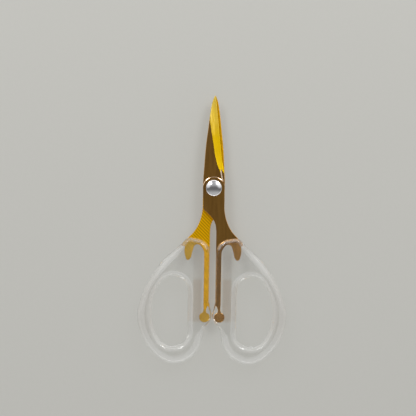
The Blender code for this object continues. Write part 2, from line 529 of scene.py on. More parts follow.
@dataclass
class Effects:
    """Shader effects that several materials share, each a node group built once."""

    grind: bpy.types.NodeTree = field(init=False)
    handling: bpy.types.NodeTree = field(init=False)
    # tone: the moulding's painted shade by place
    tone: bpy.types.NodeTree = field(init=False)

    # Directions of the scratches, in radians
    scratch_angles: tuple[float, float, float] = (0.5, 1.9, 2.6)

    # Zones of the moulding's painted shade, in metres from the centre line and from the pivot
    beside_tang: tuple[float, float, float, float] = (0.0046, 0.0053, 0.0087, 0.0095)
    lower_tang: tuple[float, float, float, float] = (-0.0640, -0.0625, -0.0440, -0.0420)
    upper_tang: tuple[float, float, float, float] = (-0.0440, -0.0420, -0.0330, -0.0290)
    bow_side: Point = (0.0235, 0.0290)
    bow_along: Point = (-0.0760, -0.0660)

    def __post_init__(self) -> None:
        """Build every group."""
        self.grind = self.grind_lines()
        self.handling = self.handling_marks()
        self.tone = self.moulding_painted_shade()

    def grind_lines(self) -> bpy.types.NodeTree:
        """Parallel grinding lines: noise drawn out along a direction, with a coarser beat in it.

        The point is turned by Angle about Z, scaled up across the lines and left long along them.
        The beat is a sine across the lines, bent a little by a wobble.

        Returns:
            The group, with the outputs Fine, Beat and Broad.
        """
        w, source, target = new_group(
            "grind_lines", {"Vector": None, "Angle": 0.0, "Lines": 2200.0, "Beat": 6900.0},
            ["Fine", "Beat", "Broad"])
        turned = w.turned(source["Vector"], source["Angle"])
        fine = w.noise(w.stretched(turned, (0.05, 1.0, 0.3)), source["Lines"], 3.0, 0.6)
        across = w.add("SeparateXYZ", {0: turned}).outputs["Y"]
        wobble = w.math("MULTIPLY", w.noise(turned, 300.0, 1.0), 1.6)
        wave = w.math("SINE", w.math("ADD", w.math("MULTIPLY", across, source["Beat"]), wobble))
        broad = w.noise(w.stretched(turned, (0.16, 1.0, 0.3)),
                        w.math("MULTIPLY", source["Lines"], 0.4), 2.0)
        w.feed(target, {"Fine": fine, "Beat": w.ramp(wave, -1.0, 1.0),
                        "Broad": w.ramp(broad, 0.46, 0.62)})
        return w.tree

    def moulding_painted_shade(self) -> bpy.types.NodeTree:
        """Painted shade in the clear moulding's colour, by place: gold-tinted painted shade beside
        the lower tang, and greyer painted shade beside the upper tang and on the bow's outer sides.

        Each mask is a product of ramps across the snips and along them.

        Returns:
            The group, with the outputs PaintedGoldShade and PaintedShade.
        """
        w, source, target = new_group("moulding_painted_shade", {"Vector": None}, ["PaintedGoldShade", "PaintedShade"])
        split = w.add("SeparateXYZ", {0: source["Vector"]}).outputs
        out = w.math("ABSOLUTE", split["X"])
        up = w.math("SUBTRACT", split["Y"], float(PIVOT[1]))
        beside = w.window(out, self.beside_tang)
        bow = w.math("MULTIPLY", w.ramp(out, *self.bow_side), w.ramp(up, *self.bow_along))
        above = w.math("MULTIPLY", beside, w.window(up, self.upper_tang))
        w.feed(target, {"PaintedGoldShade": w.math("MULTIPLY", beside, w.window(up, self.lower_tang)),
                        "PaintedShade": w.math("MAXIMUM", above, bow)})
        return w.tree

    def handling_marks(self) -> bpy.types.NodeTree:
        """Marks of handling: broad smudges, and hairline scratches that cross each other.

        Returns:
            The group, with the outputs Smudge and Scratch.
        """
        w, source, target = new_group(
            "handling_marks", {"Vector": None, "Smudge Scale": 90.0, "Scratch Scale": 260.0},
            ["Smudge", "Scratch"])
        smudge = w.noise(source["Vector"], source["Smudge Scale"], 4.0, 0.55)
        lines = []
        for angle in self.scratch_angles:
            drawn = w.stretched(w.turned(source["Vector"], angle), (0.12, 4.0, 1.0))
            lines.append(w.ramp(w.noise(drawn, source["Scratch Scale"], 2.0), 0.64, 0.72))
        scratch = w.math("MAXIMUM", w.math("MAXIMUM", lines[0], lines[1]), lines[2])
        w.feed(target, {"Smudge": w.ramp(smudge, 0.35, 0.7), "Scratch": scratch})
        return w.tree


def start_material(name: str) -> tuple[bpy.types.Material, Wiring, bpy.types.Node]:
    """Start a material.

    Args:
        name: The material's name.

    Returns:
        The material, its wiring and its Principled shader.
    """
    material = bpy.data.materials.new(name)
    material.use_nodes = True
    return material, Wiring(material.node_tree), material.node_tree.nodes["Principled BSDF"]


@dataclass(frozen=True)
class PolishedGold:
    """Mirror-polished gold nitride on the outer faces and the sides of the blades."""

    name: str = "gold_polished"
    colour: Colour = (0.82, 0.42, 0.095, 1.0)
    worn: Colour = (0.92, 0.62, 0.22, 1.0)
    smudged: Colour = (0.60, 0.33, 0.09, 1.0)
    deep: Colour = (0.58, 0.28, 0.06, 1.0)
    steel: Colour = (0.86, 0.84, 0.80, 1.0)
    smudge_share: float = 0.30
    worn_share: float = 0.15
    steel_share: float = 0.85
    roughness: float = 0.09
    moulded_roughness: float = 0.15
    steel_roughness: float = 0.16

    def make(self, effects: Effects) -> bpy.types.Material:
        """Build the material: gold in lengthwise tones, with worn edges and bare steel by masks.

        Args:
            effects: The shared effects.

        Returns:
            The material.
        """
        material, w, shader = start_material(self.name)
        place = w.place()
        marks = w.group(effects.handling, {"Vector": place, "Smudge Scale": 110.0})
        tone = w.noise(w.stretched(place, (1.0, 0.14, 1.0)), 620.0, 3.0)
        gold = w.mixed(w.ramp(tone, 0.36, 0.68, 0.0, 0.85), self.colour, self.deep)
        gold = w.mixed(w.math("MULTIPLY", marks["Smudge"], self.smudge_share), gold, self.smudged)
        gold = w.mixed(w.math("MULTIPLY", w.mask(EDGE_MASK), self.worn_share), gold, self.worn)
        bare = w.mask(BARE_MASK)
        rough = w.math("MULTIPLY_ADD", marks["Smudge"], 0.07, self.roughness)
        rough = w.math("MULTIPLY_ADD", marks["Scratch"], 0.05, rough)
        rough = w.math("MULTIPLY_ADD", w.mask(MOULDED_MASK), self.moulded_roughness, rough)
        w.feed(shader, {
            "Base Color": w.mixed(w.math("MULTIPLY", bare, self.steel_share), gold, self.steel),
            "Metallic": 1.0,
            "Roughness": w.math("MULTIPLY_ADD", bare, self.steel_roughness, rough),
            "Normal": w.bump(marks["Scratch"], 0.10, 0.00002),
        })
        return material


@dataclass(frozen=True)
class GroundGold:
    """Ground gold: bright, with fine parallel grinding lines, a coarser beat below the pivot, a
    painted pale highlight towards the tip and painted shade inside the moulding.

    Attributes:
        name: The material's name.
        angle: Direction of the lines, in radians.
        beat_share: Strength of the beat where it is full.
        beat_zone: Where along the blade the beat shows, in metres from the pivot.
        gleam_share: Share of the painted pale highlight low on the blade.
        tip_gleam: Share of that painted highlight at the tip.
        gleam_zone: Where along the blade one share passes into the other, in metres.
        moulding_shade_share: Share of the darker, greyer colour on metal inside the moulding:
            painted shade of the plastic over it.
    """

    name: str
    angle: float
    lines: float = 2600.0
    beat: float = 5650.0
    beat_share: float = 0.0
    beat_zone: tuple[float, float, float, float] = (-0.030, -0.026, 0.004, 0.007)
    colour: Colour = (0.70, 0.46, 0.003, 1.0)
    shade: Colour = (0.56, 0.35, 0.003, 1.0)
    gleam: Colour = (0.95, 0.72, 0.17, 1.0)
    dull_and_shade: Colour = (0.50, 0.33, 0.06, 1.0)
    gleam_share: float = 0.0
    tip_gleam: float = 0.0
    gleam_zone: Point = (0.024, 0.038)
    moulding_shade_share: float = 0.75
    roughness: float = 0.42
    anisotropic: float = 0.7
    rotation: float = 0.25
    depth: float = 0.4

    def make(self, effects: Effects) -> bpy.types.Material:
        """Build the material.

        Args:
            effects: The shared effects.

        Returns:
            The material.
        """
        material, w, shader = start_material(self.name)
        place = w.place()
        grind = w.group(effects.grind, {"Vector": place, "Angle": self.angle,
                                        "Lines": self.lines, "Beat": self.beat})
        marks = w.group(effects.handling, {"Vector": place})
        height = w.math("SUBTRACT", w.add("SeparateXYZ", {0: place}).outputs["Y"],
                        float(PIVOT[1]))
        share = w.math("MULTIPLY", w.window(height, self.beat_zone), self.beat_share)
        pattern = w.mixed(share, grind["Fine"], grind["Beat"])
        gold = w.mixed(w.ramp(pattern, 0.3, 0.7), self.shade, self.colour)
        # Painted highlight: pale patches of gleam, growing towards the tip
        gleam = w.ramp(height, *self.gleam_zone, self.gleam_share, self.tip_gleam)
        broad = w.math("MULTIPLY_ADD", grind["Broad"], 0.6, 0.4)
        gold = w.mixed(w.math("MULTIPLY", broad, gleam), gold, self.gleam)
        # Painted shade: the metal inside the moulding is darker and greyer
        dull_and_shade = w.math("MULTIPLY", w.mask(MOULDED_MASK), self.moulding_shade_share)
        tangent = w.add("Tangent", direction_type="UV_MAP", uv_map=FLAT_MAP).outputs[0]
        w.feed(shader, {
            "Base Color": w.mixed(dull_and_shade, gold, self.dull_and_shade),
            "Metallic": 1.0,
            "Anisotropic": self.anisotropic,
            "Anisotropic Rotation": self.rotation,
            "Tangent": tangent,
            "Roughness": w.math("MULTIPLY_ADD", marks["Smudge"], 0.06, self.roughness),
            "Normal": w.bump(pattern, self.depth, 0.00003),
        })
        return material


@dataclass(frozen=True)
class BrightSteel:
    """Polished steel of the rivet, with faint turning rings about the pivot."""

    name: str = "steel_polished"
    colour: Colour = (0.74, 0.74, 0.75, 1.0)
    # Colour of the smudges on the steel
    dull_and_shade: Colour = (0.60, 0.60, 0.61, 1.0)
    roughness: float = 0.16
    rings: float = 14000.0

    def make(self, effects: Effects) -> bpy.types.Material:
        """Build the material: the rings are a sine of the distance from the pivot's axis.

        Args:
            effects: The shared effects.

        Returns:
            The material.
        """
        material, w, shader = start_material(self.name)
        place = w.place()
        centred = w.add("Mapping", {"Vector": place, "Location": tuple(-PIVOT)}).outputs[0]
        marks = w.group(effects.handling, {"Vector": place, "Smudge Scale": 400.0,
                                           "Scratch Scale": 500.0})
        flat = w.stretched(centred, (1.0, 1.0, 0.0))
        radius = w.add("VectorMath", {0: flat}, operation="LENGTH").outputs["Value"]
        rings = w.math("SINE", w.math("MULTIPLY", radius, self.rings))
        height = w.math("ADD", rings, w.math("MULTIPLY", marks["Scratch"], 2.0))
        smudge = w.math("MULTIPLY", marks["Smudge"], 0.5)
        w.feed(shader, {
            "Base Color": w.mixed(smudge, self.colour, self.dull_and_shade),
            "Metallic": 1.0,
            "Roughness": w.math("MULTIPLY_ADD", marks["Smudge"], 0.06, self.roughness),
            "Normal": w.bump(height, 0.05, 0.00001),
        })
        return material


@dataclass(frozen=True)
class ClearPlastic:
    """Clear moulded plastic that lets lamp light and bounced light through to what it covers, with
    painted shade in its colour by place.
    """

    name: str
    transmission: float = 0.985
    roughness: float = 0.02
    colour: Colour = (0.985, 0.985, 0.98, 1.0)
    painted_gold_shade: Colour = (0.87, 0.81, 0.755, 1.0)
    painted_shade: Colour = (0.935, 0.92, 0.905, 1.0)
    shadow: Colour = (0.93, 0.93, 0.92, 1.0)
    ior: float = 1.58

    def make(self, effects: Effects) -> bpy.types.Material:
        """Build the material.

        Args:
            effects: The shared effects.

        Returns:
            The material.
        """
        material, w, shader = start_material(self.name)
        place = w.place()
        marks = w.group(effects.handling, {"Vector": place, "Smudge Scale": 60.0,
                                           "Scratch Scale": 200.0})
        # Painted shade in the base colour: gold-tinted beside the lower tang, greyer beside the
        # upper tang and on the bow's outer sides
        tone = w.group(effects.tone, {"Vector": place})
        shaded_colour = w.mixed(tone["PaintedShade"], self.colour, self.painted_shade)
        w.feed(shader, {
            "Base Color": w.mixed(tone["PaintedGoldShade"], shaded_colour, self.painted_gold_shade),
            "Transmission Weight": self.transmission,
            "IOR": self.ior,
            "Roughness": w.math("MULTIPLY_ADD", marks["Smudge"], 0.03, self.roughness),
            "Normal": w.bump(w.noise(place, 130.0, 2.0), 0.012, 0.0003),
        })
        through = w.add("BsdfTransparent", {"Color": self.shadow})
        path = w.add("LightPath").outputs
        to_light = w.math("MAXIMUM", path["Is Shadow Ray"], path["Is Diffuse Ray"])
        mix = w.add("MixShader", {0: to_light, 1: shader.outputs[0], 2: through.outputs[0]})
        w.feed(material.node_tree.nodes["Material Output"], {"Surface": mix.outputs[0]})
        return material


# ---------------------------------------------------------------------------------------------
# Blades
# ---------------------------------------------------------------------------------------------


@dataclass
class Blade:
    """One blade with its tang, in millimetres about the pivot and from the plane between blades.

    Attributes:
        bottom: Height of the inner face.
        facet_full_from: Where along the cutting edge the ground facet is first full.
        facet_twist: Loss of the facet's slope for each millimetre beyond there.
        relief_radius: Radius of the boss round the pivot, in the middle of its chamfer.
        choil: A point on the chamfer beside the heel of the cutting edge.
        choil_lean: Lean of that chamfer from the long axis, in degrees.
        choil_climb: Loss of its depth for each millimetre towards the tip.
        choil_ends: Place along the blade where its bare steel ends.
        hollow: How deep the ground facet is dished.
        wear_reach: Distance from the outline at which wear has faded to about a third.
        barb_starts: The moulding mask, rougher metal with painted shade, is right of this x and
            below this y.
        bulb_starts: The moulding mask is also full below this y.
        keen_outside: Share of the rounding on the outside of the cutting edge.
        keen_inside: Share of the rounding on its inside.
        rounding_steps: Where the rounded edges are sampled, as shares of the rounding.
    """

    bottom: float = 0.15
    thickness: float = 1.4
    edge_thickness: float = 0.3
    facet_width: float = 3.5
    grinding_radius: float = 125.0
    facet_full_from: float = 19.0
    facet_twist: float = 0.0034
    heel: Point = (4.85, 6.35)
    tip: Point = (0.28, 43.66)
    hole_radius: float = 2.0
    bulb_centre: Point = (3.5, -61.1)
    bulb_radius: float = 2.46
    neck_half_angle: float = 20.0
    stem_inner: float = 1.47
    stem_outer: float = 4.07
    stem_end: float = -54.5
    relief_radius: float = 5.2
    relief_depth: float = 0.12
    relief_width: float = 0.22
    choil: Point = (3.13, 8.34)
    choil_lean: float = 10.3
    choil_width: float = 0.6
    choil_depth: float = 0.50
    choil_climb: float = 0.04
    choil_ends: float = 9.2
    rounding: float = 0.14
    hollow: float = 0.03
    wear_reach: float = 0.25
    barb_starts: Point = (6.0, -24.6)
    bulb_starts: float = -56.5
    keen_outside: float = 0.25
    keen_inside: float = 0.1
    arc_steps: int = 10
    hole_steps: int = 64
    spacing: float = 0.42
    rounding_steps: tuple[float, float, float] = (0.0, 0.3, 1.0)

    @property
    def tilt(self) -> float:
        """Slope of the ground facet where it is first full, as rise over run."""
        return (self.thickness - self.relief_depth - self.edge_thickness) / self.facet_width

    @property
    def edge_along(self) -> Array:
        """Unit direction of the cutting edge, from the heel to the tip."""
        along = np.subtract(self.tip, self.heel)
        return along / np.linalg.norm(along)

    @property
    def edge_inward(self) -> Array:
        """Unit direction across the blade, from the cutting edge to the spine."""
        along = self.edge_along
        return np.array([-along[1], along[0]])

    @property
    def edge_start(self) -> Array:
        """Where the cutting edge's line passes the pivot's height."""
        return np.array(self.heel) - self.edge_along * self.heel[1] / self.edge_along[1]

    @property
    def choil_out(self) -> Array:
        """Unit direction across the choil's chamfer, away from the spine."""
        lean = math.radians(self.choil_lean)
        return np.array([math.cos(lean), math.sin(lean)])

    def bulb(self, count: int = 9) -> list[OutlinePoint]:
        """The bulb at the end of the tang, clockwise from its neck's outer side.

        Args:
            count: Number of its points.

        Returns:
            Smooth points on a circle, open at the neck.
        """
        turns = np.radians(np.linspace(90.0 - self.neck_half_angle,
                                       self.neck_half_angle - 270.0, count))
        x = self.bulb_centre[0] + self.bulb_radius * np.cos(turns)
        y = self.bulb_centre[1] + self.bulb_radius * np.sin(turns)
        return [(px, py, SMOOTH) for px, py in zip(x.tolist(), y.tolist())]

    def outline(self) -> Array:
        """The blade's outline: down the edge side to the bulb and back up the spine.

        Returns:
            Its points, one row each, clockwise.
        """
        cutting_edge = [
            (*self.tip, CORNER), (1.94, 28.2, SMOOTH), (3.10, 18.2, SMOOTH), (3.80, 12.4, SMOOTH),
            (4.42, 9.6, SMOOTH), (*self.heel, CORNER),
        ]
        shoulder = [
            (5.02, 3.4, SMOOTH), (5.15, -5.0, SMOOTH), (5.35, -11.4, SMOOTH),
            (6.87, -16.9, SMOOTH), (9.09, -20.8, SMOOTH), (12.45, -24.7, SMOOTH),
        ]
        barb = [
            (13.1, -26.6, SMOOTH), (13.1, -32.2, SMOOTH), (11.84, -34.2, SMOOTH),
            (10.4, -33.0, SMOOTH), (9.8, -30.6, SMOOTH), (7.6, -26.75, SMOOTH),
            (4.6, -29.2, SMOOTH),
        ]
        stem = [(self.stem_outer, -32.5, CORNER), (self.stem_outer, self.stem_end, CORNER)]
        stem_return = [(self.stem_inner, self.stem_end, CORNER), (self.stem_inner, -20.5, CORNER)]
        crotch = [(0.9, -16.9, SMOOTH), (-0.43, -14.5, SMOOTH), (-4.85, -10.2, CORNER)]
        spine = [
            (-5.15, 1.5, SMOOTH), (-4.7, 10.8, SMOOTH), (-4.1, 19.7, SMOOTH),
            (-3.12, 28.2, SMOOTH), (-2.15, 36.2, SMOOTH), (-1.3, 40.8, SMOOTH),
            (-0.36, 43.4, CORNER),
        ]
        points = cutting_edge + shoulder + barb + stem + self.bulb() + stem_return + crotch + spine
        return traced(points, self.arc_steps)

    def across_and_along(self, points: Array) -> tuple[Array, Array]:
        """Measure points from the cutting edge's line.

        Args:
            points: Points seen from above, one row each.

        Returns:
            Each point's distance in from the line, and its place along it.
        """
        offset = points - np.array(self.heel)
        start = self.heel[1] / self.edge_along[1]
        return offset @ self.edge_inward, offset @ self.edge_along + start

    def facet_height(self, points: Array) -> Array:
        """Height of the ground facet: a slope up from the edge, dished by a sine, and lifted.

        Below the place where the facet is full it is lifted by the wheel's own arc,
        R - sqrt(R R - d d). Above it the slope grows less, so that the facet widens to the tip.

        Args:
            points: Points seen from above, one row each.

        Returns:
            One height for each point.
        """
        across, along = self.across_and_along(points)
        share = np.clip(across / self.facet_width, 0.0, 1.0)
        dished = self.hollow * np.sin(math.pi * share)
        slope = self.tilt - self.facet_twist * np.maximum(along - self.facet_full_from, 0.0)
        short = np.clip(self.facet_full_from - along, 0.0, self.grinding_radius)
        lift = self.grinding_radius - np.sqrt(self.grinding_radius ** 2 - short ** 2)
        return self.bottom + self.edge_thickness + across * slope - dished + lift

    def past_boss(self, points: Array, fade: float = 1.2) -> Array:
        """Share of the chamfer round the pivot's boss that is behind each point.

        It runs from 0 on the boss to 1 beyond it, and fades out below the pivot.

        Args:
            points: Points seen from above, one row each.
            fade: Height above the pivot at which the chamfer is full.

        Returns:
            One share for each point.
        """
        start = self.relief_radius - self.relief_width / 2
        share = np.clip((np.linalg.norm(points, axis=1) - start) / self.relief_width, 0.0, 1.0)
        return share * smoothstep(points[:, 1] / fade)

    def past_choil(self, points: Array) -> Array:
        """Share of the choil's chamfer, beside the heel, that is behind each point."""
        offset = (points - np.array(self.choil)) @ self.choil_out
        return np.clip(offset / self.choil_width + 0.5, 0.0, 1.0)

    def face_height(self, points: Array, shelf_start: float = 4.0) -> Array:
        """Height of the outer face: the boss, the lower face past it and the choil's shelf.

        The shelf climbs a little towards the tip, until the ground facet takes over from it.

        Args:
            points: Points seen from above, one row each.
            shelf_start: Height above the pivot where the shelf has its full depth.

        Returns:
            One height for each point.
        """
        climbed = self.choil_climb * (points[:, 1] - shelf_start)
        shelf = self.past_choil(points) * np.maximum(self.choil_depth - climbed, 0.0)
        fall = self.past_boss(points) * (self.relief_depth + shelf)
        return self.bottom + self.thickness - fall

    def on_blade(self, points: Array, margin: float = 1.0) -> Array:
        """True for each point of the blade proper, from a margin below the heel to the tip."""
        return points[:, 1] > self.heel[1] - margin

    def outer_height(self, points: Array) -> Array:
        """Height of the outer face before its edges are rounded: the lower of face and facet."""
        face = self.face_height(points)
        return np.where(self.on_blade(points), np.minimum(face, self.facet_height(points)), face)

    def bare(self, points: Array, boss_share: float = 0.6) -> Array:
        """Share of steel that shows where the chamfers are cut through the gold.

        Args:
            points: Points seen from above, one row each.
            boss_share: Share in the middle of the boss's chamfer.

        Returns:
            One share for each point, highest in the middle of a chamfer.
        """
        boss, choil = self.past_boss(points), self.past_choil(points)
        on_boss = boss_share * smoothstep(8.0 * boss * (1.0 - boss))
        on_choil = smoothstep(8.0 * choil * (1.0 - choil)) * (points[:, 1] < self.choil_ends)
        return np.maximum(on_boss, on_choil * boss)

    def moulded(self, points: Array) -> Array:
        """Share of the moulding mask: 1 on the barb and the bulb, eased in; it makes the polished
        gold rougher and paints shade on the ground gold.

        Args:
            points: Points seen from above, one row each.

        Returns:
            One share for each point.
        """
        x, y = points.T
        barb = smoothstep((x - self.barb_starts[0]) / 2.0)
        barb = barb * smoothstep((self.barb_starts[1] - y) / 1.4)
        return np.maximum(barb, smoothstep((self.bulb_starts - y) / 2.0))

    def grid_points(self, outline: Array) -> Array:
        """Points of a staggered grid that lie inside the outline, clear of its edge and the hole.

        Args:
            outline: The blade's outline.

        Returns:
            The points, one row each.
        """
        low, high = outline.min(axis=0), outline.max(axis=0)
        xs = np.arange(low[0], high[0], self.spacing)
        ys = np.arange(low[1], high[1], self.spacing * 0.87)
        x, y = np.meshgrid(xs, ys)
        x = x + (np.arange(len(ys)) % 2)[:, None] * self.spacing / 2
        points = np.stack([x.ravel(), y.ravel()], axis=1)
        clear = distance_to(points, outline) > self.rounding + 0.6 * self.spacing
        clear &= np.linalg.norm(points, axis=1) > self.hole_radius + self.rounding + 0.2
        return points[is_inside(points, outline) & clear]

    def facet_border(self) -> Array:
        """Where the ground facet meets the outer face.

        On each of many lines across the blade, the two heights are compared in fine steps, and the
        first step where the face is the lower one is shared out between its ends.

        Returns:
            The border's points, from the heel to the tip.
        """
        along = np.linspace(self.heel[1] - 0.2, self.facet_full_from + 27.0, 130)[:, None]
        across = np.linspace(0.0, 6.5, 1301)
        spots = (self.edge_start + along[..., None] * self.edge_along
                 + across[None, :, None] * self.edge_inward).reshape(-1, 2)
        gap = (self.face_height(spots) - self.facet_height(spots)).reshape(len(along), -1)
        first = np.argmax(gap <= 0.0, axis=1)
        rows = np.flatnonzero((first > 0) & (gap.min(axis=1) <= 0.0))
        before, after = gap[rows, first[rows] - 1], gap[rows, first[rows]]
        reach = across[first[rows]] - (across[1] - across[0]) * after / (after - before)
        return self.edge_start + along[rows] * self.edge_along + reach[:, None] * self.edge_inward

    def feature_lines(self) -> list[Array]:
        """Lines that the mesh has to follow.

        Returns:
            The facet's border, the choil's two edges, and arcs through the boss's chamfer.
        """
        down = np.array([self.choil_out[1], -self.choil_out[0]])
        run = np.linspace(-0.6, 4.2, 16)[:, None] * down
        sides = [np.array(self.choil) + share * self.choil_width * self.choil_out + run
                 for share in (-0.5, 0.5)]
        turns = np.radians(np.linspace(4.0, 176.0, 72))
        arc = np.stack([np.cos(turns), np.sin(turns)], axis=1)
        radii = np.linspace(-0.5, 0.5, 5) * self.relief_width + self.relief_radius
        return [self.facet_border(), *sides, *(radius * arc for radius in radii)]

    def plan(self, outline: Array) -> tuple[Array, Array]:
        """Triangles of the blade seen from above.

        The outline and the hole, each with its rounding's steps, the feature lines and a grid are
        joined by a constrained Delaunay triangulation, and what lies in the hole is left out.

        Args:
            outline: The blade's outline.

        Returns:
            The points and the triangles.
        """
        inset = side_normals(outline) * self.rounding
        loops = [outline + inset * share for share in self.rounding_steps]
        loops += [circle(self.hole_steps) * (self.hole_radius + self.rounding * share)
                  for share in self.rounding_steps]
        lines = [line[is_inside(line, outline) & (distance_to(line, outline) > self.rounding * 0.2)]
                 for line in self.feature_lines()]
        points, edges, count = [], [], 0
        for path in loops + lines:
            numbers = count + np.arange(len(path))
            links = np.stack([numbers, np.roll(numbers, -1)], axis=1)
            edges.append(links if len(points) < len(loops) else links[:-1])
            points.append(path)
            count += len(path)
        points.append(self.grid_points(outline))
        flat = [Vector(point) for point in np.concatenate(points).tolist()]
        face = list(range(len(outline)))
        found = delaunay_2d_cdt(flat, np.concatenate(edges).tolist(), [face], 1, 1e-5)
        plan = np.array([tuple(point) for point in found[0]])
        triangles = np.array([face for face in found[2] if len(face) == 3], int)
        middle = plan[triangles].mean(axis=1)
        return plan, triangles[np.linalg.norm(middle, axis=1) > self.hole_radius * 0.995]

    def sheets(self, plan: Array, outline: Array) -> tuple[Array, Array]:
        """The outer and the inner face, with their edges rounded.

        The rounding drops a point by r - sqrt(r r - (r - d)(r - d)) at distance d from the border;
        along the cutting edge it is small, so that the edge stays keen.

        Args:
            plan: The blade's points seen from above.
            outline: The blade's outline.

        Returns:
            The points of both faces.
        """
        rim = distance_to(plan, outline)
        hole = np.abs(np.linalg.norm(plan, axis=1) - self.hole_radius)
        inset = self.rounding - np.minimum(np.minimum(rim, hole), self.rounding)
        drop = self.rounding - np.sqrt(np.maximum(self.rounding ** 2 - inset ** 2, 0.0))
        across, _ = self.across_and_along(plan)
        keen = self.on_blade(plan, -1.0) & (across < 1.0) & (rim < across + 0.2)
        outer = self.outer_height(plan) - drop * np.where(keen, self.keen_outside, 1.0)
        inner = self.bottom + drop * np.where(keen, self.keen_inside, 1.0)
        return np.column_stack([plan, outer]), np.column_stack([plan, inner])

    def mesh(self, name: str, half: Half) -> bpy.types.Mesh:
        """The blade's closed mesh: outer face, inner face and the walls between their borders.

        Args:
            name: The mesh's name.
            half: The half that it belongs to.

        Returns:
            The mesh in its place, with its masks and its UV map.
        """
        outline = self.outline()
        plan, triangles = self.plan(outline)
        middle = plan[triangles].mean(axis=1)
        ground = self.facet_height(middle) < self.face_height(middle) - 1e-3
        ground &= self.on_blade(middle)
        links = np.concatenate([triangles[:, [0, 1]], triangles[:, [1, 2]], triangles[:, [2, 0]]])
        _, first, uses = np.unique(np.sort(links, axis=1), axis=0, return_index=True,
                                   return_counts=True)
        border = links[first[uses == 1]]
        walls = np.column_stack([border[:, ::-1], border + len(plan)])
        parts = MeshParts()
        parts.points.append(np.concatenate(self.sheets(plan, outline)))
        parts.faces += [triangles, triangles[:, ::-1] + len(plan), walls]
        parts.finishes += [
            np.where(ground, BladeFinish.FACET, BladeFinish.POLISHED).astype(np.int32),
            np.full(len(triangles), BladeFinish.INNER, np.int32),
            np.full(len(walls), BladeFinish.POLISHED, np.int32),
        ]
        mesh = parts.to_mesh(name, 14.0)
        place = mesh_points(mesh)[:, :2] / MM
        worn = np.exp(-distance_to(place, outline) / self.wear_reach)
        for label, value in ((EDGE_MASK, worn), (BARE_MASK, self.bare(place)),
                             (MOULDED_MASK, self.moulded(place))):
            mask = mesh.attributes.new(label, "FLOAT", "POINT")
            mask.data.foreach_set("value", value.astype(np.float32))
        placed(mesh, half)
        add_flat_map(mesh)
        return mesh


# ---------------------------------------------------------------------------------------------
# Handles
# ---------------------------------------------------------------------------------------------


